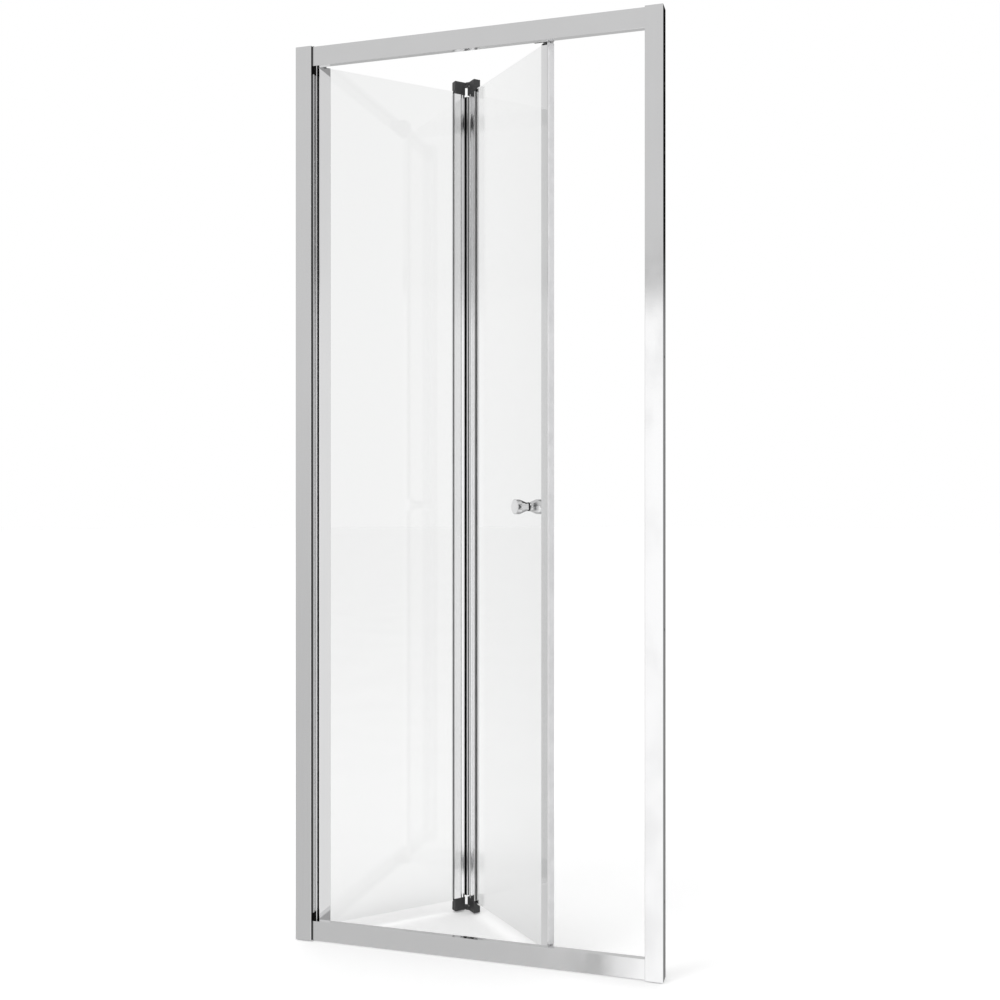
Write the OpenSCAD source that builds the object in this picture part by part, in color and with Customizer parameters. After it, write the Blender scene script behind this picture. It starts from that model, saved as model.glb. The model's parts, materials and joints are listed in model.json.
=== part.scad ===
// Bifold shower door: two glass leaves fold inwards between two wall profiles and two rails.
// X runs along the opening, +Y points into the shower and +Z is up.
// The origin is the middle of the bottom rail's underside.
// Each leaf is drawn in its own frame: x along the leaf, y inwards, z up.

/* [Opening] */
// Overall width, across both wall profiles
frame_w = 784; // [704:4:984]
// Overall height, from the tray to the top of the wall profiles
frame_h = 1900; // [1700:10:2100]
// Angle that each leaf stands away from closed
fold = 45; // [10:0.5:84]

/* [Wall profiles] */
// Width of a wall profile's face
profile_w = 36; // [34:0.5:44]
// Depth of a wall profile
profile_d = 32; // [31:0.5:34]
// Wall thickness of a wall profile
profile_wall = 2; // [1.6:0.1:2.2]
// Depth of the return lip at the profile's inner edge
return_lip = 7; // [5:0.5:7.5]
// Wall thickness of the jamb that slides into a wall profile
jamb_wall = 1.8; // [1.5:0.1:2]
// Distance that the pivot-side jamb stands out of its wall profile
jamb_out = 4.6; // [4:0.1:5.2]
// Radius of each hole for a wall fixing
wall_hole_r = 2.75; // [2:0.05:3.5]

/* [Rails] */
// Height of a rail
rail_h = 41; // [38:1:50]
// Depth of a rail
rail_d = 13; // [12:0.5:15]
// Wall thickness of a rail
rail_wall = 1.5; // [1.3:0.1:1.8]
// Distance that the rails stand behind the face of the wall profiles
rail_setback = 4; // [3:0.5:5]

/* [Leaves] */
// Thickness of the upright profiles on the leaves
leaf_t = 15; // [14:0.5:17]
// Thickness of the glass
glass_t = 6; // [5:0.5:8]
// Depth of glass held in each upright
glass_bite = 8.5; // [7:0.25:8.75]
// Height of the leaves' lower edge above the tray
leaf_bottom = 24; // [24:0.5:30]
// Distance of the leaves' upper edge below the top of the wall profiles
leaf_drop = 37; // [37:0.5:45]
// Wall thickness of the uprights
upright_wall = 1.4; // [1.2:0.1:1.5]

/* [Centre hinge] */
// Width of each half of the centre hinge
hinge_w = 26; // [24:0.2:32]
// Distance from the hinge axis to each half
hinge_gap = 5.5; // [5.2:0.1:6]
// Distance of the hinge axis in front of the leaves' faces
hinge_lead = 2; // [2:0.1:2.5]
// Outer radius of the hinge eyes
eye_r = 3.7; // [3.4:0.05:3.8]
// Diameter of the hinge pins
hinge_pin_d = 4; // [3:0.1:4.2]
// Height of the hinge caps beyond the ends of the leaves
cap_out = 22.5; // [19:0.5:23]

/* [Pivots and guides] */
// Diameter of the pivot and guide pins
pivot_pin_d = 6; // [4:0.1:6]
// Radial clearance of every running fit
fit_clear = 0.05; // [0.02:0.01:0.08]
// Diameter of the guide rollers
roller_d = 11.4; // [10:0.1:11.6]
// Diameter of the roller axles
axle_d = 4; // [3:0.1:4.2]

/* [Knob] */
// Diameter of the knob at its end
knob_d = 31; // [24:0.5:44]
// Diameter of the knob at the glass
knob_neck_d = 18.6; // [16:0.2:22]
// Length of each half of the knob
knob_l = 30; // [24:0.5:36]
// Height of the knob's axis above the tray
knob_z = 922; // [700:1:1200]
// Distance of the knob's axis from the hinge axis
knob_x = 263; // [80:1:280]

/* [Hidden] */

$fn = 48;

// Clearances between pieces that move past each other
swing_gap = 1;
wall_gap = 0.6;
slide_gap = 0.3;
// Small step that lets a cut run past a face
past = 1;

// Frame, along X
half_w = frame_w / 2;
inner_x = half_w - profile_w;
lip_t = 1.5;
jamb_back = 6;

// Pivot stile, about the pivot axis
pivot_end = 10.8;
pivot_glass_side = 14.9;
pivot_corner_r = 1.5;
pivot_swing_r = norm([pivot_end - pivot_corner_r, leaf_t / 2 - pivot_corner_r]) + pivot_corner_r;

// Leading stile, about the guide axis
lead_glass_side = 15.6;
lead_end = 10;
seal_t = 3;
seal_w = 12.8;

// Frame, along Y
rail_front = -rail_d / 2;
rail_back = rail_d / 2;
profile_front = rail_front - rail_setback;
profile_back = profile_front + profile_d;
lip_end = profile_front + return_lip;
jamb_front = lip_end + 0.05;
jamb_rear = profile_back - profile_wall;

// Leaves, along Y: the leading stile and the hinge eyes pass close behind the rails
hinge_off = leaf_t / 2 + hinge_lead;
lead_swing_r = norm([lead_end, leaf_t / 2]);
leaf_y = rail_back + max(lead_swing_r + swing_gap, hinge_off + eye_r + slide_gap);

// Axes along X, and the distance between two of them along a leaf
pivot_x = -(inner_x - pivot_swing_r - wall_gap);
closed_guide_x = inner_x - lead_end - seal_t - swing_gap;
leaf_l = (closed_guide_x - pivot_x) / 2;

// Where the hinge and guide axes stand at this fold
hinge_x = pivot_x + leaf_l * cos(fold) + hinge_off * sin(fold);
hinge_y = leaf_y + leaf_l * sin(fold) - hinge_off * cos(fold);
guide_x = 2 * hinge_x - pivot_x;

// Heights
rail_top = frame_h - 1;
leaf_top = frame_h - leaf_drop;
plate_t = 2;
stile_bottom = leaf_bottom + plate_t;
stile_top = leaf_top - plate_t;
plug_l = 18;
cap_skirt = 6;
hinge_bottom = leaf_bottom + cap_skirt;
hinge_top = leaf_top - cap_skirt;

// Guide slot in the back of each rail, measured from the rail's outer edge
slot_z = 8;
slot_h = 12;
mouth_h = 6;
slot_mid = slot_z + slot_h / 2;
upper_cell_z = slot_z + slot_h + rail_wall;

// Glass and its slots
slot_w = glass_t + 3;
slot_depth = 9.5;
hinge_slot_w = glass_t + 2;

// Pivot brackets
bracket_l = 22;
bracket_plate_l = 39;
bracket_plate_t = 3;
bush_r = 4.5;
flange_r = 7;
flange_t = 2;
washer_t = 1.8;

// Places a child on each leaf or on the guides
module on_pivot_leaf() {
    translate([pivot_x, leaf_y, 0]) rotate(fold) children();
}

module on_leading_leaf() {
    translate([hinge_x, hinge_y, 0]) rotate(-fold) children();
}

module at_guide() {
    translate([guide_x, leaf_y, 0]) children();
}

// The pivot leaf's hinge half is the leading leaf's, mirrored about the hinge axis
module on_pivot_leaf_hinge() {
    on_pivot_leaf() translate([leaf_l, -hinge_off, 0]) mirror([1, 0, 0]) children();
}

module on_leading_stile() {
    on_leading_leaf() translate([leaf_l, hinge_off, 0]) children();
}

// Bottom pieces turn into top pieces when mirrored about a height
module mirror_height(z) {
    translate([0, 0, z]) mirror([0, 0, 1]) children();
}

// Children of a rail, once at the bottom or once at the top
module on_rail(top) {
    if (top) mirror_height(rail_top) children();
    else children();
}

// The mirrored right-hand side is the left-hand side
module on_side(left) {
    if (left) mirror([1, 0, 0]) children();
    else children();
}

module bar(z0, z1) {
    translate([0, 0, z0]) linear_extrude(z1 - z0) children();
}

module along_x(x0, x1) {
    translate([x0, 0, 0]) rotate([90, 0, 90]) linear_extrude(x1 - x0) children();
}

module along_y(y0, y1) {
    translate([0, y0, 0]) rotate([-90, 0, 0]) linear_extrude(y1 - y0) children();
}

module box(from, to) {
    translate(from) cube(to - from);
}

module rect(from, to) {
    translate(from) square(to - from);
}

// Rectangle with round corners made of true arcs
module round_rect(from, to, r) {
    rect(from + [r, 0], to - [r, 0]);
    rect(from + [0, r], to - [0, r]);
    for (x = [from.x + r, to.x - r], y = [from.y + r, to.y - r]) {
        translate([x, y]) circle(r);
    }
}

// Pan-head screw along +Z, with its head's seat at z = 0 and its head below
module screw(shank_r, shank_l, head_r, head_t) {
    cylinder(r = shank_r, h = shank_l);
    translate([0, 0, -head_t]) cylinder(r = head_r, h = head_t);
}

// ---- Wall profiles and jambs, drawn for the right-hand side ----

wall_fixing_z = [for (i = [0 : 3]) frame_h * (0.08 + 0.28 * i)];
jamb_screw_z = [frame_h * 0.16, frame_h * 0.5, frame_h * 0.84];
jamb_screw_x = inner_x + 19;
jamb_screw_r = 1.9;

module wall_profile() {
    difference() {
        bar(0, frame_h) {
            rect([half_w - profile_wall, profile_front + 0.8], [half_w, profile_back]);
            round_rect([inner_x, profile_front], [half_w, profile_front + profile_wall], 0.8);
            round_rect([inner_x, profile_front], [inner_x + lip_t, lip_end], 0.7);
            rect([inner_x + lip_t, profile_back - profile_wall], [half_w, profile_back]);
        }
        for (z = wall_fixing_z) {
            translate([half_w - profile_wall - past, profile_front + profile_d / 2, z])
                rotate([0, 90, 0]) cylinder(r = wall_hole_r, h = profile_wall + 2 * past);
        }
        for (z = jamb_screw_z) {
            translate([jamb_screw_x, jamb_rear - past, z])
                rotate([-90, 0, 0]) cylinder(r = jamb_screw_r, h = profile_wall + 2 * past);
        }
    }
}

corner_screw_y = jamb_front + jamb_wall + 3.2;
corner_screw_r = 1.75;
corner_screw_z = (upper_cell_z + rail_h - rail_wall) / 2;

// Where a rail ends, on each side
function rail_end(left) = inner_x - (left ? jamb_out : 0);

// Cuts that both jambs share: one hole for each rail's corner screw, and the side screws
module jamb_cuts(left) {
    for (z = [corner_screw_z, rail_top - corner_screw_z]) {
        translate([rail_end(left) - past, corner_screw_y, z])
            rotate([0, 90, 0]) cylinder(r = corner_screw_r, h = jamb_wall + 2 * past);
    }
    for (z = jamb_screw_z) {
        translate([jamb_screw_x, jamb_rear - jamb_wall - past, z])
            rotate([-90, 0, 0]) cylinder(r = jamb_screw_r, h = jamb_wall + 2 * past);
    }
}

jamb_end = half_w - jamb_back;
strike_step = 1.7;
strike_y0 = leaf_y - leaf_t / 2 - 1.5;

module jamb_flanges(front_x, rear_x) {
    rect([front_x, jamb_front], [jamb_end, jamb_front + jamb_wall]);
    rect([rear_x, jamb_rear - jamb_wall], [jamb_end, jamb_rear]);
}

// The pivot-side jamb stands out beside the rails, with a gasket in the groove at its profile's
// lip, and steps back to let the stile's corner swing past
groove_w = 2.4;
jamb_face = inner_x - jamb_out;
trim_out = 2.5;
trim_x = jamb_face - trim_out;
trim_front = rail_front + 9.2;
nose_gap = 0.5;
nose_back = leaf_y - sqrt(pow(pivot_swing_r + nose_gap, 2) - pow(trim_x + pivot_x, 2));
seal_groove = 0.8;
seal_x0 = jamb_face + 0.6;
seal_x1 = inner_x - 0.6;
rear_x = inner_x + 1;

module jamb_pivot() {
    difference() {
        bar(0, frame_h) {
            jamb_flanges(jamb_face, rear_x);
            rect([jamb_face, rail_front], [inner_x - groove_w, jamb_front + jamb_wall]);
            rect([jamb_face, rail_front], [jamb_face + jamb_wall, nose_back]);
            rect([jamb_face, nose_back - jamb_wall - seal_groove], [rear_x + jamb_wall, nose_back]);
            rect([rear_x, nose_back - jamb_wall], [rear_x + jamb_wall, jamb_rear - jamb_wall / 2]);
        }
        jamb_cuts(true);
        bar(-past, frame_h + past)
            rect([seal_x0, nose_back - seal_groove], [seal_x1, nose_back + past]);
        for (z = [rail_h, block_z1]) {
            box([jamb_face - past, rail_front - past, z], [inner_x, jamb_front, z + nose_block_h]);
        }
    }
}

// The strike jamb has a shallow pocket at its back edge for the magnetic strip
module jamb_strike() {
    difference() {
        bar(0, frame_h) {
            jamb_flanges(inner_x, inner_x + strike_step);
            rect([inner_x, jamb_front], [inner_x + jamb_wall, strike_y0]);
            rect([inner_x, strike_y0 - jamb_wall], [inner_x + strike_step + jamb_wall, strike_y0]);
            rect([inner_x + strike_step, strike_y0 - jamb_wall],
                [inner_x + strike_step + jamb_wall, jamb_rear]);
        }
        jamb_cuts(false);
    }
}

// A flat trim on the jamb's side, and a block at each end of it that fills the jamb's notch
nose_block_h = 18;
block_z1 = rail_top - rail_h - nose_block_h;
block_skin = 0.5;
trim_lip = 1.1;

module trim_strip() {
    bar(rail_h + nose_block_h, block_z1)
        round_rect([trim_x, trim_front], [jamb_face, nose_back], trim_lip);
    bar(rail_h, rail_top - rail_h) intersection() {
        round_rect([trim_x, trim_front], [jamb_face, nose_back], trim_lip);
        rect([trim_x, trim_front], [jamb_face - block_skin, trim_front + trim_lip]);
    }
}

module trim_block_pair() {
    for (z = [rail_h, block_z1]) bar(z, z + nose_block_h) {
        rect([jamb_face - block_skin, rail_front], [inner_x - groove_w, jamb_front]);
        rect([jamb_face - block_skin, rail_front], [jamb_face, nose_back]);
        rect([trim_x, trim_front + trim_lip], [jamb_face, nose_back]);
    }
}

module groove_gasket() {
    bar(0.5, frame_h - 0.5)
        round_rect([inner_x - groove_w, rail_front - 0.3], [inner_x, jamb_front], 0.4);
}

module nose_seal() {
    bar(rail_h + 1, rail_top - rail_h - 1)
        rect([seal_x0, nose_back - seal_groove], [seal_x1, nose_back + 0.6]);
}

module strike_magnet() {
    bar(rail_h + 1, rail_top - rail_h - 1)
        rect([inner_x - 0.2, strike_y0 + 0.3], [inner_x + strike_step, jamb_rear - 0.3]);
}

module side_screws() {
    for (z = jamb_screw_z) {
        translate([jamb_screw_x, profile_back, z])
            rotate([90, 0, 0]) screw(jamb_screw_r, 12, 3.6, 2.2);
    }
}

module wall_profile_left() {
    color("silver") on_side(true) wall_profile();
}

module wall_profile_right() {
    color("silver") on_side(false) wall_profile();
}

module jamb_left() {
    color("lightgray") on_side(true) jamb_pivot();
}

module jamb_right() {
    color("lightgray") on_side(false) jamb_strike();
}

module jamb_trim() {
    color("silver") on_side(true) trim_strip();
}

module trim_blocks() {
    color("black") on_side(true) trim_block_pair();
}

module jamb_gasket() {
    color("black") on_side(true) groove_gasket();
}

module jamb_seal() {
    color("black") on_side(true) nose_seal();
}

module strike_strip() {
    color("gray") on_side(false) strike_magnet();
}

module jamb_screws() {
    color("silver") for (left = [true, false]) on_side(left) side_screws();
}

// ---- Rails ----

// Section with y up from the rail's outer edge: three cells, the middle one open at the back
module rail_section() {
    inside0 = rail_front + rail_wall;
    inside1 = rail_back - rail_wall;
    difference() {
        round_rect([rail_front, 0], [rail_back, rail_h], 0.8);
        rect([inside0, rail_wall], [inside1, slot_z - rail_wall]);
        rect([inside0, slot_z], [inside1, slot_z + slot_h]);
        rect([inside0, slot_mid - mouth_h / 2], [rail_back + past, slot_mid + mouth_h / 2]);
        rect([inside0, upper_cell_z], [inside1, rail_h - rail_wall]);
    }
}

module rail(top) {
    on_rail(top) along_x(-rail_end(true), rail_end(false)) rail_section();
}

module top_rail() {
    color("silver") rail(true);
}

module bottom_rail() {
    color("silver") rail(false);
}

block_l = 30;
corner_screw_l = 24;

module corner_block(end) {
    inside0 = rail_front + rail_wall;
    inside1 = rail_back - rail_wall;
    difference() {
        box([end - block_l, inside0 + 0.1, upper_cell_z],
            [end, inside1 - 0.1, rail_h - rail_wall - 0.3]);
        translate([end + past, corner_screw_y, corner_screw_z])
            rotate([0, -90, 0]) cylinder(r = corner_screw_r, h = corner_screw_l + past);
    }
}

module corner_blocks() {
    color("dimgray") for (top = [true, false], left = [true, false]) {
        on_rail(top) on_side(left) corner_block(rail_end(left));
    }
}

module corner_screws() {
    color("silver") for (top = [true, false], left = [true, false]) {
        on_rail(top) on_side(left)
            translate([rail_end(left) + jamb_wall, corner_screw_y, corner_screw_z])
                rotate([0, -90, 0]) screw(corner_screw_r, corner_screw_l, 3, 1.6);
    }
}

// ---- Pivot brackets, drawn for the bottom rail ----

bracket_x0 = -rail_end(true) + 0.5;
bracket_top = leaf_bottom - flange_t - washer_t - 0.2;
bracket_bottom = slot_z - 4;
bracket_rear = leaf_y + 7.5;
nut_x0 = bracket_x0 + 24;
nut_l = 13;
nut_t = 2;
nut_screw_x = [nut_x0 + 3, nut_x0 + nut_l - 3];
nut_screw_r = 2;
top_pivot_gap = 3;
top_bracket_z = leaf_top + top_pivot_gap + flange_t;

// A block for the bush, and a plate that is clamped over the rail's slot
module bracket_body(z0, z1) {
    difference() {
        union() {
            box([bracket_x0, rail_back, z0], [bracket_x0 + bracket_l, bracket_rear, z1]);
            box([bracket_x0, rail_back, z0],
                [bracket_x0 + bracket_plate_l, rail_back + bracket_plate_t, z1]);
        }
        translate([pivot_x, leaf_y, z0 - past]) cylinder(r = bush_r, h = z1 - z0 + 2 * past);
    }
}

module nut_screw_holes(slot_height) {
    for (x = nut_screw_x) {
        translate([x, rail_back + bracket_plate_t + past, slot_height])
            rotate([90, 0, 0]) cylinder(r = nut_screw_r, h = bracket_plate_t + 2 * past);
    }
}

module pivot_bracket_bottom() {
    color("dimgray") difference() {
        bracket_body(bracket_bottom, bracket_top);
        nut_screw_holes(slot_mid);
    }
}

module pivot_bracket_top() {
    color("dimgray") difference() {
        bracket_body(top_bracket_z, rail_top - bracket_bottom);
        nut_screw_holes(rail_top - slot_mid);
    }
}

// Flanged bush with its flange above z = 0 and its body below
module bush(body_l) {
    difference() {
        union() {
            translate([0, 0, -body_l]) cylinder(r = bush_r, h = body_l);
            cylinder(r = flange_r, h = flange_t);
        }
        translate([0, 0, -body_l - past])
            cylinder(d = pivot_pin_d + 2 * fit_clear, h = body_l + flange_t + 2 * past);
    }
}

module pivot_bush_bottom() {
    color("white") translate([pivot_x, leaf_y, bracket_top])
        bush(bracket_top - bracket_bottom);
}

module pivot_bush_top() {
    color("white") translate([pivot_x, leaf_y, 0])
        mirror_height(top_bracket_z) bush(rail_top - bracket_bottom - top_bracket_z);
}

module thrust_washer() {
    color("silver") translate([pivot_x, leaf_y, bracket_top + flange_t]) difference() {
        cylinder(r = flange_r - 0.5, h = washer_t);
        translate([0, 0, -past])
            cylinder(d = pivot_pin_d + 2 * fit_clear, h = washer_t + 2 * past);
    }
}

// Nut plates stand in the slots, behind the lips that the bracket is clamped to
module bracket_nuts() {
    y1 = rail_back - rail_wall;
    color("silver") for (top = [true, false]) on_rail(top) difference() {
        box([nut_x0, y1 - nut_t, slot_z + 0.5], [nut_x0 + nut_l, y1, slot_z + slot_h - 0.5]);
        for (x = nut_screw_x) {
            translate([x, y1 + past, slot_mid])
                rotate([90, 0, 0]) cylinder(r = nut_screw_r, h = nut_t + 2 * past);
        }
    }
}

module bracket_screws() {
    seat = rail_back + bracket_plate_t;
    color("silver") for (top = [true, false]) on_rail(top) for (x = nut_screw_x) {
        translate([x, seat, slot_mid])
            rotate([90, 0, 0]) screw(nut_screw_r, seat - rail_back + rail_wall + nut_t + 1, 2.9, 2);
    }
}

// ---- Uprights of the leaves ----

chamber_r = 0.8;

// Upright with a glass slot at its right edge: x0 is its left edge and x1 its right
module upright_section(x0, x1, left_r) {
    difference() {
        union() {
            round_rect([x0, -leaf_t / 2], [x1 - 2, leaf_t / 2], left_r);
            round_rect([x1 - slot_depth, -leaf_t / 2], [x1, leaf_t / 2], 1);
        }
        rect([x1 - slot_depth, -slot_w / 2], [x1 + past, slot_w / 2]);
        chamber_section(x0, x1, 0);
    }
}

// Chamber of an upright; a plug may stop short of its left wall
module chamber_section(x0, x1, inset) {
    round_rect([x0 + upright_wall + inset, -leaf_t / 2 + upright_wall],
        [x1 - slot_depth - upright_wall, leaf_t / 2 - upright_wall], chamber_r);
}

// Plastic end cap for an upright: a plate over its end and a plug in its chamber
module upright_cap(x0, x1, left_r, inset, bore_d) {
    difference() {
        union() {
            bar(leaf_bottom, stile_bottom) intersection() {
                round_rect([x0, -leaf_t / 2], [x1, leaf_t / 2], left_r);
                rect([x0, -leaf_t / 2], [x1 - slot_depth, leaf_t / 2]);
            }
            bar(leaf_bottom, stile_bottom + plug_l) chamber_section(x0, x1, inset);
        }
        translate([0, 0, leaf_bottom - past]) cylinder(d = bore_d, h = plug_l + plate_t + past - 1);
    }
}

module pivot_stile() {
    color("silver") on_pivot_leaf() bar(stile_bottom, stile_top)
        upright_section(-pivot_end, pivot_glass_side, pivot_corner_r);
}

module pivot_cap() {
    upright_cap(-pivot_end, pivot_glass_side, pivot_corner_r, 0, pivot_pin_d);
}

module pivot_stile_cap_bottom() {
    color("gray") on_pivot_leaf() pivot_cap();
}

module pivot_stile_cap_top() {
    color("gray") on_pivot_leaf() mirror_height(leaf_bottom + leaf_top) pivot_cap();
}

pin_end = plug_l + plate_t - 1;

module pivot_pin_bottom() {
    color("silver") on_pivot_leaf()
        translate([0, 0, bracket_bottom + 1])
            cylinder(d = pivot_pin_d, h = leaf_bottom + pin_end - bracket_bottom - 1);
}

module pivot_pin_top() {
    color("silver") on_pivot_leaf()
        translate([0, 0, leaf_top - pin_end])
            cylinder(d = pivot_pin_d, h = rail_top - bracket_bottom - 6 - leaf_top + pin_end);
}

// The leading stile is an upright turned round, with a groove for its seal
module turned() {
    rotate(180) children();
}

seal_y0 = -seal_w / 2;
seal_stem = 2;
seal_head = 3.2;
seal_head_t = 1.4;
seal_mid = seal_y0 + seal_w / 2;

module leading_section() {
    difference() {
        turned() upright_section(-lead_end, lead_glass_side, 1.5);
        rect([lead_end - upright_wall - past, seal_mid - seal_stem / 2],
            [lead_end + past, seal_mid + seal_stem / 2]);
    }
}

module leading_stile() {
    color("silver") on_leading_stile() bar(stile_bottom, stile_top) leading_section();
}

// The plug stops short of the seal's head, which runs along inside the chamber
module leading_cap() {
    turned() upright_cap(-lead_end, lead_glass_side, 1.5, seal_head_t + 0.2,
        pivot_pin_d + 2 * fit_clear);
}

module leading_stile_cap_bottom() {
    color("gray") on_leading_stile() leading_cap();
}

module leading_stile_cap_top() {
    color("gray") on_leading_stile() mirror_height(leaf_bottom + leaf_top) leading_cap();
}

// Soft magnetic strip: a flat face, a stem through the stile and a head inside it
module magnetic_seal() {
    inside = lead_end - upright_wall;
    color("lightgray") on_leading_stile() bar(rail_h + 2, rail_top - rail_h - 2) {
        round_rect([lead_end, seal_y0], [lead_end + seal_t, seal_y0 + seal_w], 0.8);
        rect([lead_end, seal_y0 + 0.8], [lead_end + 1, seal_y0 + seal_w - 0.8]);
        rect([inside - seal_head_t / 2, seal_mid - seal_stem / 2],
            [lead_end + 1, seal_mid + seal_stem / 2]);
        rect([inside - seal_head_t, seal_mid - seal_head / 2],
            [inside, seal_mid + seal_head / 2]);
    }
}

// ---- Centre hinge, drawn for the leading leaf about the hinge axis ----

hinge_front = hinge_lead;
hinge_rear = hinge_lead + leaf_t;
hinge_end = hinge_gap + hinge_w;
gasket_slot_y = 4;
gasket_slot_w = 2.4;
flute_x = hinge_gap + 7.2;
flute_r = 4.5;
flute_d = 0.9;

gasket_head_t = 1.4;

// Chamber of a hinge half; a spigot stops short of the gasket's head
module hinge_chamber(inset) {
    round_rect([hinge_gap + upright_wall + inset, hinge_front + flute_d + upright_wall],
        [hinge_end - slot_depth - upright_wall, hinge_rear - upright_wall], chamber_r);
}

// Body of a hinge half, with its glass slot, chamber and the flute in its face
module hinge_section() {
    difference() {
        round_rect([hinge_gap, hinge_front], [hinge_end, hinge_rear], 1);
        rect([hinge_end - slot_depth, hinge_off - hinge_slot_w / 2],
            [hinge_end + past, hinge_off + hinge_slot_w / 2]);
        hinge_chamber(0);
        translate([flute_x, hinge_front + flute_d - flute_r]) circle(r = flute_r);
    }
}

module hinge_profile_left() {
    color("silver") on_pivot_leaf_hinge() bar(hinge_bottom, hinge_top) difference() {
        hinge_section();
        rect([hinge_gap - past, gasket_slot_y],
            [hinge_gap + upright_wall + past, gasket_slot_y + gasket_slot_w]);
    }
}

module hinge_profile_right() {
    color("silver") on_leading_leaf() bar(hinge_bottom, hinge_top) hinge_section();
}

gasket_r = 3.7;
gasket_short = 4.5;
bead_r = 1.2;
bead_from = 2.4;

// Places a child on the flat at the front of the gasket's bulb
module on_bulb_flat() {
    rotate(-63) translate([bead_from, 0]) children();
}

// Round bulb on the hinge axis, a web to the pivot half and a head inside its chamber
module hinge_gasket() {
    inside = hinge_gap + upright_wall;
    slot_end = gasket_slot_y + gasket_slot_w;
    color("black") on_pivot_leaf_hinge()
        bar(hinge_bottom + gasket_short, hinge_top - gasket_short) {
            difference() {
                circle(r = gasket_r);
                on_bulb_flat() rect([0, -gasket_r], [gasket_r, gasket_r]);
                on_bulb_flat() circle(r = bead_r);
            }
            polygon([[-1, 3.4], [3.2, 0.6], [hinge_gap, gasket_slot_y], [hinge_gap, slot_end]]);
            rect([hinge_gap - 0.2, gasket_slot_y], [inside + gasket_head_t / 2, slot_end]);
            rect([inside, gasket_slot_y + 1.2], [inside + gasket_head_t, slot_end + 0.9]);
        }
}

// Bright bead set in the gasket's front
module hinge_bead() {
    color("silver") on_pivot_leaf_hinge()
        bar(hinge_bottom + gasket_short, hinge_top - gasket_short)
            on_bulb_flat() circle(r = bead_r);
}

// Hinge caps, drawn for the lower end of the leading leaf
cap_y0 = hinge_front - 0.5;
cap_y1 = hinge_rear + 0.5;
cap_x0 = hinge_gap - 0.2;
cap_x1 = hinge_end - 1.6;
cap_z0 = leaf_bottom - cap_out;
eye_h = 5.6;
eye_gap = 0.2;
spigot_l = 20;
notch_clear = 0.2;

// Eye with an arm to the cap; the arm's foot is a slanted strip of the eye's width
module eye_section() {
    circle(r = eye_r);
    polygon([[0, -eye_r], [cap_x0 + 2, cap_y0], [cap_x0 + 2, cap_y0 + 4], [0, eye_r]]);
}

module hinge_cap(eye_z, bore_d, near_x) {
    difference() {
        union() {
            bar(cap_z0, hinge_bottom) round_rect([cap_x0, cap_y0], [cap_x1, cap_y1], 0.8);
            bar(inner_eye_z + eye_h + eye_gap, hinge_bottom)
                round_rect([near_x, cap_y0], [cap_x0 + 4, cap_y0 + 7], 0.8);
            bar(hinge_bottom, hinge_bottom + spigot_l) hinge_chamber(gasket_head_t + 0.2);
            bar(eye_z, eye_z + eye_h) eye_section();
        }
        // Notch for the lower edge of the glass
        box([hinge_end - glass_bite - notch_clear, hinge_off - glass_t / 2 - notch_clear,
                leaf_bottom - notch_clear],
            [cap_x1 + past, hinge_off + glass_t / 2 + notch_clear, hinge_bottom + past]);
        translate([0, 0, eye_z - past]) cylinder(d = bore_d, h = eye_h + 2 * past);
    }
}

outer_eye_z = cap_z0;
inner_eye_z = cap_z0 + eye_h + eye_gap;

// The pivot leaf's eyes hold the pins and the outermost eyes turn on them; beside the eyes each
// cap reaches nearer to the axis
module pivot_half_cap() {
    hinge_cap(inner_eye_z, hinge_pin_d, hinge_gap - 1);
    bar(outer_eye_z, outer_eye_z + eye_h) difference() {
        round_rect([0, cap_y0], [cap_x0 + 4, cap_y0 + 7], 0.8);
        circle(r = eye_r + slide_gap);
    }
}

module leading_half_cap() {
    hinge_cap(outer_eye_z, hinge_pin_d + 2 * fit_clear, -2.5);
}

module hinge_cap_bottom_left() {
    color("black") on_pivot_leaf_hinge() pivot_half_cap();
}

module hinge_cap_top_left() {
    color("black") on_pivot_leaf_hinge() mirror_height(leaf_bottom + leaf_top) pivot_half_cap();
}

module hinge_cap_bottom_right() {
    color("black") on_leading_leaf() leading_half_cap();
}

module hinge_cap_top_right() {
    color("black") on_leading_leaf() mirror_height(leaf_bottom + leaf_top) leading_half_cap();
}

module hinge_pin() {
    translate([0, 0, outer_eye_z]) cylinder(d = hinge_pin_d, h = 2 * eye_h + eye_gap);
}

module hinge_pins() {
    color("silver") on_pivot_leaf_hinge() {
        hinge_pin();
        mirror_height(leaf_bottom + leaf_top) hinge_pin();
    }
}

// ---- Glass and the strips that hold it ----

// Strips on one side or both sides of the glass, at a slot whose mouth is at x = 0
module glazing(y, slot, out, sides) {
    strip_t = (slot - glass_t) / 2;
    for (s = sides) {
        translate([0, y + s * (glass_t + strip_t) / 2])
            rect([-glass_bite + 0.5, -strip_t / 2], [out, strip_t / 2]);
    }
}

module pane(x0, x1, y) {
    box([x0, y - glass_t / 2, leaf_bottom], [x1, y + glass_t / 2, leaf_top]);
}

module glass_pivot_leaf() {
    color("azure", 0.4) on_pivot_leaf()
        pane(pivot_glass_side - glass_bite, leaf_l - hinge_end + glass_bite, 0);
}

knob_hole_r = 5;

module glass_leading_leaf() {
    color("azure", 0.4) on_leading_leaf() difference() {
        pane(hinge_end - glass_bite, leaf_l - lead_glass_side + glass_bite, hinge_off);
        translate([knob_x, hinge_off - glass_t, knob_z])
            rotate([-90, 0, 0]) cylinder(r = knob_hole_r, h = 2 * glass_t);
    }
}

module glazing_strips_pivot_leaf() {
    color("lightgray") on_pivot_leaf() translate([pivot_glass_side, 0, 0])
        bar(stile_bottom, stile_top) glazing(0, slot_w, 0.8, [-1, 1]);
}

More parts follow.
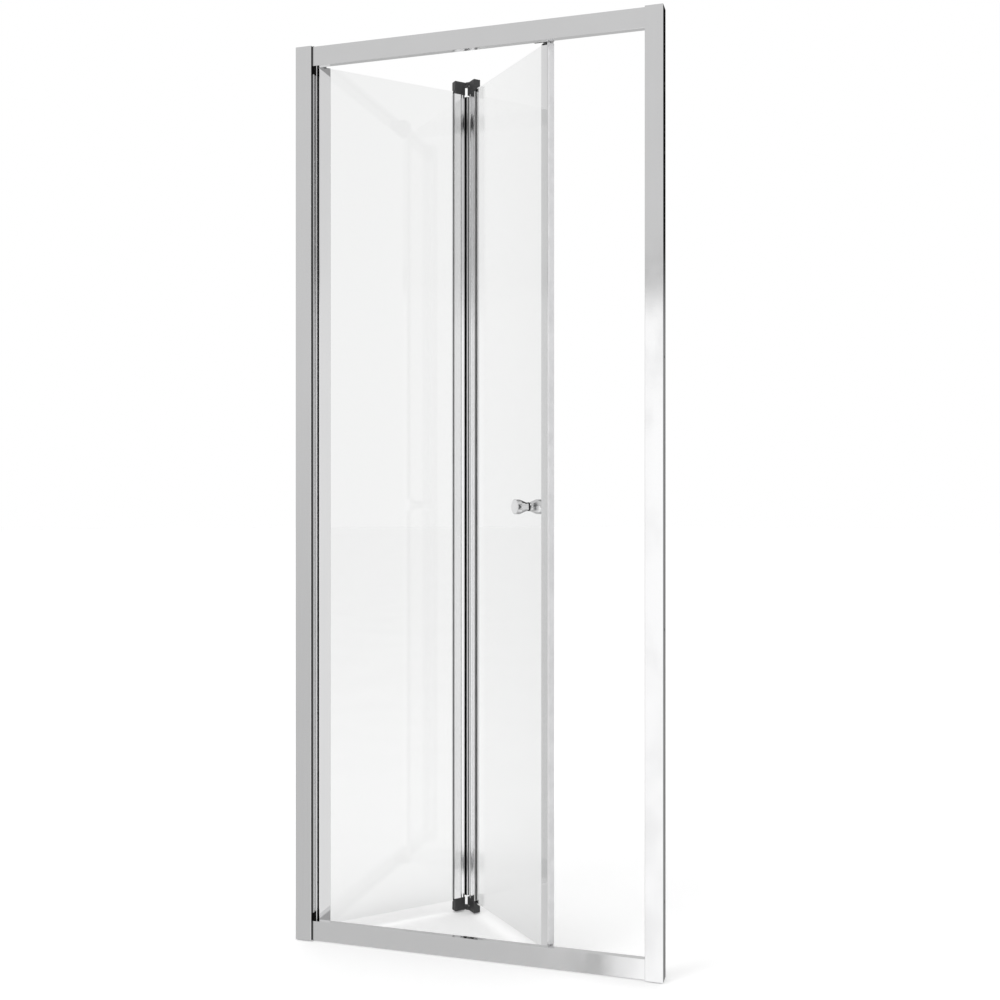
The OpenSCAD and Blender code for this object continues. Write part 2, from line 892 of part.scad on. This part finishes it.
module glazing_strips_leading_leaf() {
    color("lightgray") on_leading_leaf() translate([leaf_l - lead_glass_side, 0, 0])
        bar(stile_bottom, stile_top) mirror([1, 0, 0])
            glazing(hinge_off, slot_w, 0.8, [-1, 1]);
}

// The hinge's front strip has a lip over the end of the wall in front of it
module hinge_glazing() {
    translate([hinge_end, 0, 0]) bar(hinge_bottom, hinge_top) {
        glazing(hinge_off, hinge_slot_w, 0.8, [-1]);
        rect([0, hinge_front + 0.8], [0.5, hinge_off - glass_t / 2]);
    }
}

module hinge_backing() {
    translate([hinge_end, 0, 0]) bar(hinge_bottom, hinge_top)
        glazing(hinge_off, hinge_slot_w, 0.3, [1]);
}

module hinge_glazing_left() {
    color("dimgray") on_pivot_leaf_hinge() hinge_glazing();
}

module hinge_glazing_right() {
    color("dimgray") on_leading_leaf() hinge_glazing();
}

module hinge_backing_left() {
    color("lightgray") on_pivot_leaf_hinge() hinge_backing();
}

module hinge_backing_right() {
    color("lightgray") on_leading_leaf() hinge_backing();
}

// ---- Knob ----

knob_washer_t = 0.8;
stud_r = 3;
stud_in = 12;

// Half of the knob, from its short neck at z = 0 through a cone to its flat end
module knob_half() {
    neck_l = knob_l * 0.09;
    cone_l = knob_l * 0.55;
    neck_r = knob_neck_d / 2;
    end_r = knob_d / 2;
    difference() {
        rotate_extrude() polygon([
            [0, 0], [neck_r - 0.6, 0], [neck_r, 0.6], [neck_r, neck_l],
            [end_r, neck_l + cone_l], [end_r, knob_l - 1.2], [end_r - 1.2, knob_l], [0, knob_l]
        ]);
        translate([0, 0, -past]) cylinder(r = stud_r, h = stud_in + past);
    }
}

// The knob's own frame: z = 0 on the glass's mid-plane, +z out of the shower
module on_knob() {
    on_leading_leaf() translate([knob_x, hinge_off, knob_z]) rotate([90, 0, 0]) children();
}

knob_seat = glass_t / 2 + knob_washer_t;

module knob_outer() {
    color("silver") on_knob() translate([0, 0, knob_seat]) knob_half();
}

module knob_inner() {
    color("silver") on_knob() mirror([0, 0, 1]) translate([0, 0, knob_seat]) knob_half();
}

module knob_stud() {
    reach = knob_seat + stud_in;
    color("silver") on_knob() translate([0, 0, -reach]) cylinder(r = stud_r, h = 2 * reach);
}

// Each washer has a hub that keeps the stud off the edge of the glass
module knob_washers() {
    color("black") on_knob() for (side = [0, 1]) mirror([0, 0, side]) difference() {
        union() {
            translate([0, 0, glass_t / 2]) cylinder(d = knob_neck_d - 0.4, h = knob_washer_t);
            translate([0, 0, 0.1]) cylinder(r = knob_hole_r, h = glass_t / 2 - 0.1);
        }
        translate([0, 0, -past]) cylinder(r = stud_r, h = glass_t + 2 * past);
    }
}

// ---- Guides in the rails, about the guide axis ----

guide_y0 = rail_back + 0.4 - leaf_y;
guide_y1 = 6.5;
carriage_x0 = -30;
carriage_x1 = 11;
carriage_z0 = leaf_top + plate_t;
carriage_z1 = rail_top - bracket_bottom;
axle_z = rail_top - slot_mid;
roller_x = [-25, 5];
roller_w = 4;
roller_y = -leaf_y + 1;
boss_r = 2.7;
side_play = 0.15;
axle_head_t = 1;

// A block behind the top rail, with two bosses that reach through the slot
module guide_carriage_top() {
    boss_y0 = roller_y + roller_w / 2 + side_play;
    color("dimgray") at_guide() difference() {
        union() {
            box([carriage_x0, guide_y0, carriage_z0], [carriage_x1, guide_y1, carriage_z1]);
            for (x = roller_x) {
                translate([x, 0, axle_z]) along_y(boss_y0, guide_y0 + past) circle(r = boss_r);
            }
        }
        for (x = roller_x) {
            translate([x, 0, axle_z]) along_y(boss_y0 - past, guide_y1 + past) circle(d = axle_d);
        }
        translate([0, 0, carriage_z0 - past])
            cylinder(d = pivot_pin_d, h = guide_pin_in + past);
    }
}

guide_pin_in = 14;

module guide_axles_top() {
    y0 = roller_y - roller_w / 2 - side_play;
    color("silver") at_guide() for (x = roller_x) translate([x, 0, axle_z]) {
        along_y(y0 - axle_head_t, guide_y1) circle(d = axle_d);
        along_y(y0 - axle_head_t, y0) circle(r = axle_d / 2 + 1);
    }
}

module guide_roller(x) {
    color("white") at_guide() translate([x, 0, axle_z])
        along_y(roller_y - roller_w / 2, roller_y + roller_w / 2) difference() {
            circle(d = roller_d);
            circle(d = axle_d + 2 * fit_clear);
        }
}

module guide_roller_top_a() {
    guide_roller(roller_x[0]);
}

module guide_roller_top_b() {
    guide_roller(roller_x[1]);
}

module guide_pin_top() {
    pin_z = leaf_top - pin_end + 1;
    color("silver") at_guide() translate([0, 0, pin_z])
        cylinder(d = pivot_pin_d, h = carriage_z0 + guide_pin_in - pin_z);
}

shoe_x = 11;
shoe_z0 = slot_z - 2;
shoe_z1 = leaf_bottom - plate_t;
shoe_pin_in = 12;

// A sliding shoe: a head inside the bottom rail, a neck and a body behind the rail
module guide_shoe_bottom() {
    head_y0 = rail_front + rail_wall + 2 - leaf_y;
    head_y1 = rail_back - rail_wall - slide_gap - leaf_y;
    neck_h = mouth_h - 2 * slide_gap;
    color("dimgray") at_guide() difference() {
        union() {
            box([-shoe_x, head_y0, slot_z + slide_gap],
                [shoe_x, head_y1, slot_z + slot_h - slide_gap]);
            box([-shoe_x, head_y0, slot_mid - neck_h / 2],
                [shoe_x, guide_y0 + past, slot_mid + neck_h / 2]);
            box([-shoe_x, guide_y0, shoe_z0], [shoe_x, guide_y1, shoe_z1]);
        }
        translate([0, 0, shoe_z1 - shoe_pin_in]) cylinder(d = pivot_pin_d, h = shoe_pin_in + past);
    }
}

module guide_pin_bottom() {
    color("silver") at_guide() translate([0, 0, shoe_z1 - shoe_pin_in])
        cylinder(d = pivot_pin_d, h = leaf_bottom + pin_end - 1 - shoe_z1 + shoe_pin_in);
}

wall_profile_left();
wall_profile_right();
jamb_left();
jamb_right();
jamb_trim();
trim_blocks();
jamb_gasket();
jamb_seal();
strike_strip();
jamb_screws();
top_rail();
bottom_rail();
corner_blocks();
corner_screws();
pivot_bracket_top();
pivot_bracket_bottom();
pivot_bush_top();
pivot_bush_bottom();
thrust_washer();
bracket_nuts();
bracket_screws();
pivot_stile();
pivot_stile_cap_top();
pivot_stile_cap_bottom();
pivot_pin_top();
pivot_pin_bottom();
glass_pivot_leaf();
glazing_strips_pivot_leaf();
hinge_profile_left();
hinge_cap_top_left();
hinge_cap_bottom_left();
hinge_glazing_left();
hinge_backing_left();
hinge_gasket();
hinge_bead();
hinge_pins();
hinge_profile_right();
hinge_cap_top_right();
hinge_cap_bottom_right();
hinge_glazing_right();
hinge_backing_right();
glass_leading_leaf();
glazing_strips_leading_leaf();
leading_stile();
leading_stile_cap_top();
leading_stile_cap_bottom();
magnetic_seal();
knob_outer();
knob_inner();
knob_stud();
knob_washers();
guide_carriage_top();
guide_axles_top();
guide_roller_top_a();
guide_roller_top_b();
guide_pin_top();
guide_shoe_bottom();
guide_pin_bottom();
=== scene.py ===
import json
import math

import bmesh
import bpy
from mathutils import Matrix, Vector

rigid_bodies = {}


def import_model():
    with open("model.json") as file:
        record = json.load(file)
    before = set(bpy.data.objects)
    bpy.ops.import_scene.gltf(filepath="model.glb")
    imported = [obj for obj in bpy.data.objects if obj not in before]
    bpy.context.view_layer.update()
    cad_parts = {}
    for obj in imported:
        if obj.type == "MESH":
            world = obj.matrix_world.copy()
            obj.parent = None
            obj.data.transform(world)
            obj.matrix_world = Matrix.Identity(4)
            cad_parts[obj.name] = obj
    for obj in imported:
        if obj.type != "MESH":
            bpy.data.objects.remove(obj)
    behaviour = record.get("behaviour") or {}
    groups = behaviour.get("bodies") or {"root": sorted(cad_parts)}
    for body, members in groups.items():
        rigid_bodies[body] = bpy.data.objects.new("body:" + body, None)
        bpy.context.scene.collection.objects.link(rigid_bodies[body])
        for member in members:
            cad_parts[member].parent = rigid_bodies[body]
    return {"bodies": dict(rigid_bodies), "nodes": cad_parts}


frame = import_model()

nodes = frame["nodes"]
kept = set(nodes.values()) | set(frame["bodies"].values())
for o in list(bpy.data.objects):
    if o not in kept:
        bpy.data.objects.remove(o)
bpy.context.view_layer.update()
scene = bpy.context.scene

# ---- Values: metres, degrees, and levels of light where 1 is white ----

# Pieces with another look than their CAD material slot's, which carries the look's name
OWN_LOOKS = {
    "top_rail": "rail_aluminium",
    "bottom_rail": "rail_aluminium",
    "pivot_stile": "stile_aluminium",
    "leading_stile": "stile_aluminium",
    # The jamb and the trim get darker copies of the aluminium: painted shade for their side faces
    # in the recess.
    "jamb_left": "jamb_aluminium",
    "jamb_right": "jamb_aluminium",
    "jamb_trim": "trim_aluminium",
    "trim_blocks": "black_rubber",
}

# Drawn lines of the metal: cycles a metre across and along them, and their depth
LINES_ACROSS = 2600.0
LINES_ALONG = 5.0
LINE_DEPTH = 0.00004
# Handling marks on the metal: cycles a metre along x, y and z
MARKS = (9.0, 9.0, 6.0)
# Share of the lines in the metal's tone (the rest is marks), and how far the marks and the
# lines change its roughness
LINE_TONE = 0.6
MARK_ROUGHNESS = 0.35
LINE_ROUGHNESS = 0.3
# Grain of the plastic: cycles a metre, strength and depth
GRAIN = 1800.0
GRAIN_STRENGTH = 0.25
GRAIN_DEPTH = 0.00005
# Its uneven colour and gloss: cycles a metre, and how far they change its roughness
UNEVEN = 35.0
UNEVEN_ROUGHNESS = 0.15

GLASS_TINT = (0.905, 0.908, 0.906, 1.0)
GLASS_IOR = 1.5
# The film on the glass: cycles a metre along x, y and z, and its roughness
FILM = (14.0, 14.0, 5.0)
FILM_ROUGHNESS = 0.02
# Faces that look up or down by more than this are the pane's upper and lower edge
EDGE_NORMAL = 0.7

WHITE = (1.0, 1.0, 1.0, 1.0)

FLOOR_RADIUS = 30.0
FLOOR_DROP = 0.002
# Darkest and palest tone of the paint, the patches in it in cycles a metre, and its gloss
FLOOR_PAINT = (0.95, 0.97)
FLOOR_PATCHES = 3.0
FLOOR_ROUGHNESS = 0.9
FLOOR_SHINE = 0.1
# Its own light, straight to the camera and through the glass
FLOOR_GLOW = 0.17
FLOOR_GLOW_IN_GLASS = 0.12

# The world's light on the object
LIGHT_LEVEL = 0.9
# What metal and glass mirror: (turn, level), where turn is the angle to the right of straight
# ahead of the door. Rise is the height above the horizon, as an angle.
SURROUNDINGS = [
    (-180, 0.58), (-150, 0.58), (-119, 0.62), (-115, 0.93), (-106.3, 0.93), (-103, 0.57),
    (-90, 0.60), (-26, 0.62), (-9, 0.63), (30, 0.74), (67, 0.79), (70, 0.90), (76, 0.90),
    (79, 0.79), (92, 0.74), (125, 0.74), (138, 0.50), (150, 0.40), (166, 0.40), (174, 0.15),
]
# Where left becomes right, and the shades over rise on both sides: from, to, and the values there
AHEAD = (-1.0, 0.0, 0.0, 1.0)
LEFT_SHADE = (-11.0, 10.0, 0.91, 1.02)
RIGHT_SHADE = (5.0, 16.0, 1.0, 0.90)
# A dark ceiling from some rise on, weaker overhead, and from some turn on
CEILING_RISE = (7.5, 12.5, 0.0, 1.0)
CEILING_OVERHEAD = (30.0, 50.0, 1.0, 0.3)
CEILING_TURN = (138.0, 148.0, 0.0, 1.0)
CEILING_DARK = 0.98
# What is mirrored twice is darker between these turns
TWICE_TURN = (96.0, 104.0, 128.0, 146.0)
TWICE_DARK = 0.45
# A bright field: its top, left and right edge, its level, and the degrees inside its edge over
# which it comes up. It is weaker straight ahead, so that the frame keeps most of its grey from
# the front.
FIELD_TOP = 10.6
FIELD_LEFT = -11.8
FIELD_RIGHT = 50.0
FIELD_LEVEL = 1.13
FIELD_EDGE = (0.2, 1.6, 0.0, 1.0)
FIELD_WEAK_TURN = (-5.0, -1.0, 7.0, 11.0)
FIELD_WEAKER = 0.7
# The dark rim outside that edge
RIM_EDGE = (-1.2, 0.0, 0.0, 1.0)
RIM_DARK = 0.45

LAMP_PLACE = (-1.6, -2.4, 3.0)
LAMP_AIM = (0.0, 0.0, 1.0)
LAMP_SIZE = 1.6
LAMP_WATTS = 30.0

# The photograph's camera, fitted to the door's edges
CAMERA_PLACE = (0.7215, -2.2435, 0.9507)
CAMERA_TURN = 16.45
CAMERA_LENS_MM = 41.5
CAMERA_SENSOR_MM = 36.0
CAMERA_SHIFT = -0.00706
CAMERA_NEAR = 0.05


# ---- Node helpers ----

def new_material(name):
    material = bpy.data.materials.new(name)
    material.use_nodes = True
    tree = material.node_tree
    tree.nodes.clear()
    out = tree.nodes.new("ShaderNodeOutputMaterial")
    shader = tree.nodes.new("ShaderNodeBsdfPrincipled")
    tree.links.new(shader.outputs[0], out.inputs["Surface"])
    return material, tree, shader


def make(tree, kind, **values):
    """A node of that kind. A value named in_N or in_Name sets or links an input, any other one
    is a setting."""
    node = tree.nodes.new("ShaderNode" + kind)
    for key, value in values.items():
        if not key.startswith("in_"):
            setattr(node, key, value)
            continue
        key = key[3:]
        key = int(key) if key.isdigit() else key.replace("_", " ")
        if isinstance(value, bpy.types.NodeSocket):
            tree.links.new(value, node.inputs[key])
        else:
            node.inputs[key].default_value = value
    return node


def link(tree, value, shader, name):
    tree.links.new(value, shader.inputs[name])


def math_node(tree, operation, a, b=None, c=None):
    inputs = {f"in_{i}": v for i, v in enumerate((a, b, c)) if v is not None}
    return make(tree, "Math", operation=operation, **inputs).outputs[0]


def times(tree, a, b):
    return math_node(tree, "MULTIPLY", a, b)


def minus(tree, a, b):
    return math_node(tree, "SUBTRACT", a, b)


def least(tree, a, b):
    return math_node(tree, "MINIMUM", a, b)


def most(tree, a, b):
    return math_node(tree, "MAXIMUM", a, b)


def above(tree, value, limit):
    """1 where value is over the limit, else 0."""
    return math_node(tree, "GREATER_THAN", value, limit)


def between(tree, value, low, high, to_low, to_high, smooth=True):
    """value from low..high to to_low..to_high, held at both ends."""
    node = make(tree, "MapRange", in_Value=value, in_From_Min=low, in_From_Max=high,
                in_To_Min=to_low, in_To_Max=to_high)
    node.interpolation_type = "SMOOTHSTEP" if smooth else "LINEAR"
    return node.outputs[0]


def window(tree, value, start, full, fall, end):
    """0 up to start, 1 from full to fall, and 0 again from end on."""
    return times(tree, between(tree, value, start, full, 0.0, 1.0),
                 between(tree, value, fall, end, 1.0, 0.0))


def less(tree, value, share, where):
    """value without that share of it, where the mask is 1."""
    return times(tree, value, math_node(tree, "MULTIPLY_ADD", where, -share, 1.0))


def noise(tree, scale, detail=3.0, roughness=0.55):
    """Noise in the object's own metres, with scale as cycles a metre along x, y and z."""
    place = make(tree, "TexCoord").outputs["Object"]
    spread = make(tree, "VectorMath", operation="MULTIPLY", in_0=place, in_1=scale)
    return make(tree, "TexNoise", in_Vector=spread.outputs[0], in_Scale=1.0, in_Detail=detail,
                in_Roughness=roughness, in_Distortion=0.0).outputs["Fac"]


def ramp(tree, value, *stops):
    """Colours at positions along value: (position, colour) pairs."""
    node = make(tree, "ValToRGB", in_Fac=value)
    elements = node.color_ramp.elements
    while len(elements) < len(stops):
        elements.new(0.5)
    for element, (position, colour) in zip(elements, stops):
        element.position = position
        element.color = (*colour, 1.0)
    return node.outputs["Color"]


def bump(tree, shader, height, strength, distance):
    node = make(tree, "Bump", in_Strength=strength, in_Distance=distance, in_Height=height)
    link(tree, node.outputs[0], shader, "Normal")


def mix_shaders(tree, share, first, second):
    return make(tree, "MixShader", in_0=share, in_1=first.outputs[0], in_2=second.outputs[0])


def surface(tree, shader):
    """Makes this shader the material's surface."""
    tree.links.new(shader.outputs[0], tree.nodes["Material Output"].inputs["Surface"])


def sight(tree):
    """The light path, a mask of what the camera sees straight or through the glass, and a mask
    of what is mirrored on the way."""
    path = tree.nodes.new("ShaderNodeLightPath")
    mirrored = above(tree, path.outputs["Glossy Depth"], 0.5)
    through = times(tree, path.outputs["Is Transmission Ray"], minus(tree, 1.0, mirrored))
    return path, most(tree, path.outputs["Is Camera Ray"], through), mirrored


# ---- Materials ----

def grey(level):
    return (level, level, level * 1.005)


def metal(name, low, high, along, roughness, lines=0.05):
    """Bright aluminium or steel: fine drawn lines along one axis and faint handling marks."""
    material, tree, shader = new_material(name)
    scale = {"x": (LINES_ALONG, LINES_ACROSS, LINES_ACROSS),
             "z": (LINES_ACROSS, LINES_ACROSS, LINES_ALONG)}[along]
    grain = noise(tree, scale, detail=2.0)
    marks = noise(tree, MARKS, detail=4.0, roughness=0.6)
    tone = math_node(tree, "MULTIPLY_ADD", grain, LINE_TONE, times(tree, marks, 1 - LINE_TONE))
    link(tree, ramp(tree, tone, (0.35, low), (0.65, high)), shader, "Base Color")
    shader.inputs["Metallic"].default_value = 1.0
    rough = between(tree, marks, 0.35, 0.7, roughness * (1 - MARK_ROUGHNESS),
                    roughness * (1 + MARK_ROUGHNESS))
    rough = math_node(tree, "MULTIPLY_ADD", grain, roughness * LINE_ROUGHNESS, rough)
    link(tree, rough, shader, "Roughness")
    bump(tree, shader, grain, lines, LINE_DEPTH)
    return material


def plastic(name, low, high, roughness, shine=0.5):
    """Moulded plastic or rubber with a fine grain and slightly uneven gloss."""
    material, tree, shader = new_material(name)
    shader.inputs["Specular IOR Level"].default_value = shine
    fine = noise(tree, (GRAIN,) * 3)
    broad = noise(tree, (UNEVEN,) * 3)
    link(tree, ramp(tree, broad, (0.35, low), (0.68, high)), shader, "Base Color")
    rough = between(tree, broad, 0.3, 0.7, roughness * (1 - UNEVEN_ROUGHNESS),
                    roughness * (1 + UNEVEN_ROUGHNESS))
    link(tree, rough, shader, "Roughness")
    bump(tree, shader, fine, GRAIN_STRENGTH, GRAIN_DEPTH)
    return material


def glass():
    """Clear glass with a faint film. Its ground upper and lower edges don't show as lines."""
    material, tree, shader = new_material("clear_glass")
    shader.inputs["Base Color"].default_value = GLASS_TINT
    shader.inputs["Transmission Weight"].default_value = 1.0
    shader.inputs["IOR"].default_value = GLASS_IOR
    film = noise(tree, FILM, detail=4.0, roughness=0.6)
    link(tree, between(tree, film, 0.45, 0.75, 0.0, FILM_ROUGHNESS), shader, "Roughness")
    normal = make(tree, "TexCoord").outputs["Normal"]
    up = make(tree, "SeparateXYZ", in_Vector=normal).outputs["Z"]
    edge = above(tree, math_node(tree, "ABSOLUTE", up), EDGE_NORMAL)
    surface(tree, mix_shaders(tree, edge, shader, make(tree, "BsdfTransparent")))
    return material


looks = {
    "polished_aluminium": metal("polished_aluminium", grey(0.86), grey(0.90), "z", 0.10),
    "rail_aluminium": metal("rail_aluminium", grey(0.86), grey(0.90), "x", 0.10),
    "stile_aluminium": metal("stile_aluminium", grey(0.87), grey(0.91), "z", 0.06),
    # The jamb's and the trim's aluminium are darker than the frame's. That darker tone is painted
    # shade for their side faces in the recess. The trim's rougher satin is its finish.
    "jamb_aluminium": metal("jamb_aluminium", grey(0.60), grey(0.66), "z", 0.12),
    "trim_aluminium": metal("trim_aluminium", grey(0.80), grey(0.85), "z", 0.14, lines=0.01),
    "stainless_steel": metal("stainless_steel", (0.56, 0.56, 0.55), (0.62, 0.62, 0.61), "z", 0.2),
    "cast_zinc": metal("cast_zinc", (0.40, 0.40, 0.41), (0.47, 0.47, 0.48), "z", 0.35),
    "knob_chrome": metal("knob_chrome", grey(0.92), grey(0.95), "z", 0.06, lines=0.02),
    "dark_plastic": plastic("dark_plastic", (0.034, 0.034, 0.035), (0.043, 0.043, 0.044), 0.5),
    "grey_plastic": plastic("grey_plastic", (0.30,) * 3, (0.36,) * 3, 0.5),
    "white_nylon": plastic("white_nylon", (0.74, 0.74, 0.72), (0.80, 0.80, 0.78), 0.4),
    "black_rubber": plastic("black_rubber", (0.0015,) * 3, (0.004,) * 3, 0.6, shine=0.06),
    "grey_rubber": plastic("grey_rubber", (0.20,) * 3, (0.25,) * 3, 0.6),
    "grey_seal": plastic("grey_seal", (0.68, 0.68, 0.69), (0.76, 0.76, 0.77), 0.45),
    "clear_strip": plastic("clear_strip", (0.60, 0.61, 0.61), (0.68, 0.69, 0.69), 0.3),
    "clear_glass": glass(),
}
for name, node in nodes.items():
    materials = node.data.materials
    look = OWN_LOOKS.get(name, materials[0].name.split(".")[0])
    materials.clear()
    materials.append(looks[look])


# ---- Floor, light and camera ----

def stage_floor():
    """A plain pale floor. The glass and the metal don't mirror it."""
    mesh = bpy.data.meshes.new("floor")
    form = bmesh.new()
    bmesh.ops.create_circle(form, cap_ends=True, radius=FLOOR_RADIUS, segments=96)
    form.to_mesh(mesh)
    form.free()
    material, tree, shader = new_material("floor_paint")
    shader.inputs["Roughness"].default_value = FLOOR_ROUGHNESS
    shader.inputs["Specular IOR Level"].default_value = FLOOR_SHINE
    dark, pale = FLOOR_PAINT
    shade = noise(tree, (FLOOR_PATCHES,) * 3)
    link(tree, ramp(tree, shade, (0.3, (dark,) * 3), (0.7, (pale,) * 3)), shader, "Base Color")
    path, seen, mirrored = sight(tree)
    shader.inputs["Emission Color"].default_value = WHITE
    glow = math_node(tree, "MULTIPLY_ADD", path.outputs["Is Camera Ray"],
                     FLOOR_GLOW - FLOOR_GLOW_IN_GLASS, FLOOR_GLOW_IN_GLASS)
    link(tree, times(tree, seen, glow), shader, "Emission Strength")
    surface(tree, mix_shaders(tree, mirrored, shader, make(tree, "BsdfTransparent")))
    mesh.materials.append(material)
    floor = bpy.data.objects.new("floor", mesh)
    floor.location = (0.0, 0.0, -FLOOR_DROP)
    floor.visible_glossy = False
    scene.collection.objects.link(floor)


def mirrored_level(tree, path):
    """The level of the surroundings that metal and glass mirror, by direction."""
    way = make(tree, "TexCoord").outputs["Generated"]
    x, y, z = make(tree, "SeparateXYZ", in_Vector=way).outputs
    degrees = 180 / math.pi
    turn = times(tree, math_node(tree, "ARCTAN2", x, times(tree, y, -1.0)), degrees)
    rise = times(tree, math_node(tree, "ARCSINE", z), degrees)
    depth = path.outputs["Glossy Depth"]

    around = between(tree, turn, -180.0, 180.0, 0.0, 1.0, smooth=False)
    level = ramp(tree, around, *[((t + 180) / 360, (v,) * 3) for t, v in SURROUNDINGS])
    at_right = between(tree, turn, *AHEAD)
    left = times(tree, between(tree, rise, *LEFT_SHADE), minus(tree, 1.0, at_right))
    right = times(tree, between(tree, rise, *RIGHT_SHADE), at_right)
    level = times(tree, level, math_node(tree, "ADD", left, right))
    level = less(tree, level, TWICE_DARK,
                 times(tree, above(tree, depth, 1.5), window(tree, turn, *TWICE_TURN)))

    # The ceiling is all round in what is mirrored three times or more
    reach = most(tree, between(tree, turn, *CEILING_TURN), above(tree, depth, 2.5))
    ceiling = times(tree, between(tree, rise, *CEILING_RISE),
                    between(tree, rise, *CEILING_OVERHEAD))
    level = less(tree, level, CEILING_DARK, times(tree, ceiling, reach))

    inside = least(tree, minus(tree, FIELD_TOP, rise), minus(tree, turn, FIELD_LEFT))
    inside = least(tree, inside, minus(tree, FIELD_RIGHT, turn))
    field = between(tree, inside, *FIELD_EDGE)
    rim = times(tree, between(tree, inside, *RIM_EDGE), minus(tree, 1.0, field))
    field = less(tree, field, FIELD_WEAKER, window(tree, turn, *FIELD_WEAK_TURN))
    level = less(tree, level, RIM_DARK, rim)
    return make(tree, "Mix", in_0=field, in_2=level, in_3=FIELD_LEVEL).outputs[0]


def world_light():
    """Even light on the object, white for the camera, and surroundings for mirror images."""
    world = bpy.data.worlds.new("studio")
    scene.world = world
    world.use_nodes = True
    tree = world.node_tree
    tree.nodes.clear()
    path, seen, mirrored = sight(tree)
    shine = make(tree, "Background", in_Color=WHITE, in_Strength=mirrored_level(tree, path))
    white = make(tree, "Background", in_Color=WHITE, in_Strength=1.0)
    soft = make(tree, "Background", in_Color=WHITE, in_Strength=LIGHT_LEVEL)
    glossy = most(tree, path.outputs["Is Glossy Ray"], mirrored)
    last = mix_shaders(tree, seen, mix_shaders(tree, glossy, soft, shine), white)
    make(tree, "OutputWorld", in_Surface=last.outputs[0])


def lamp():
    """A soft lamp that casts the door's shadow on the floor."""
    data = bpy.data.lights.new("key", "AREA")
    data.shape = "RECTANGLE"
    data.size = data.size_y = LAMP_SIZE
    data.energy = LAMP_WATTS
    o = bpy.data.objects.new("key", data)
    o.location = LAMP_PLACE
    o.rotation_euler = (Vector(LAMP_AIM) - Vector(LAMP_PLACE)).to_track_quat("-Z", "Y").to_euler()
    o.visible_glossy = False
    scene.collection.objects.link(o)


def camera():
    data = bpy.data.cameras.new("camera")
    data.lens = CAMERA_LENS_MM
    data.sensor_width = CAMERA_SENSOR_MM
    data.shift_y = CAMERA_SHIFT
    data.clip_start = CAMERA_NEAR
    o = bpy.data.objects.new("camera", data)
    o.location = CAMERA_PLACE
    o.rotation_euler = (math.radians(90), 0.0, math.radians(CAMERA_TURN))
    scene.collection.objects.link(o)
    scene.camera = o


stage_floor()
world_light()
lamp()
camera()
scene.view_settings.view_transform = "Standard"
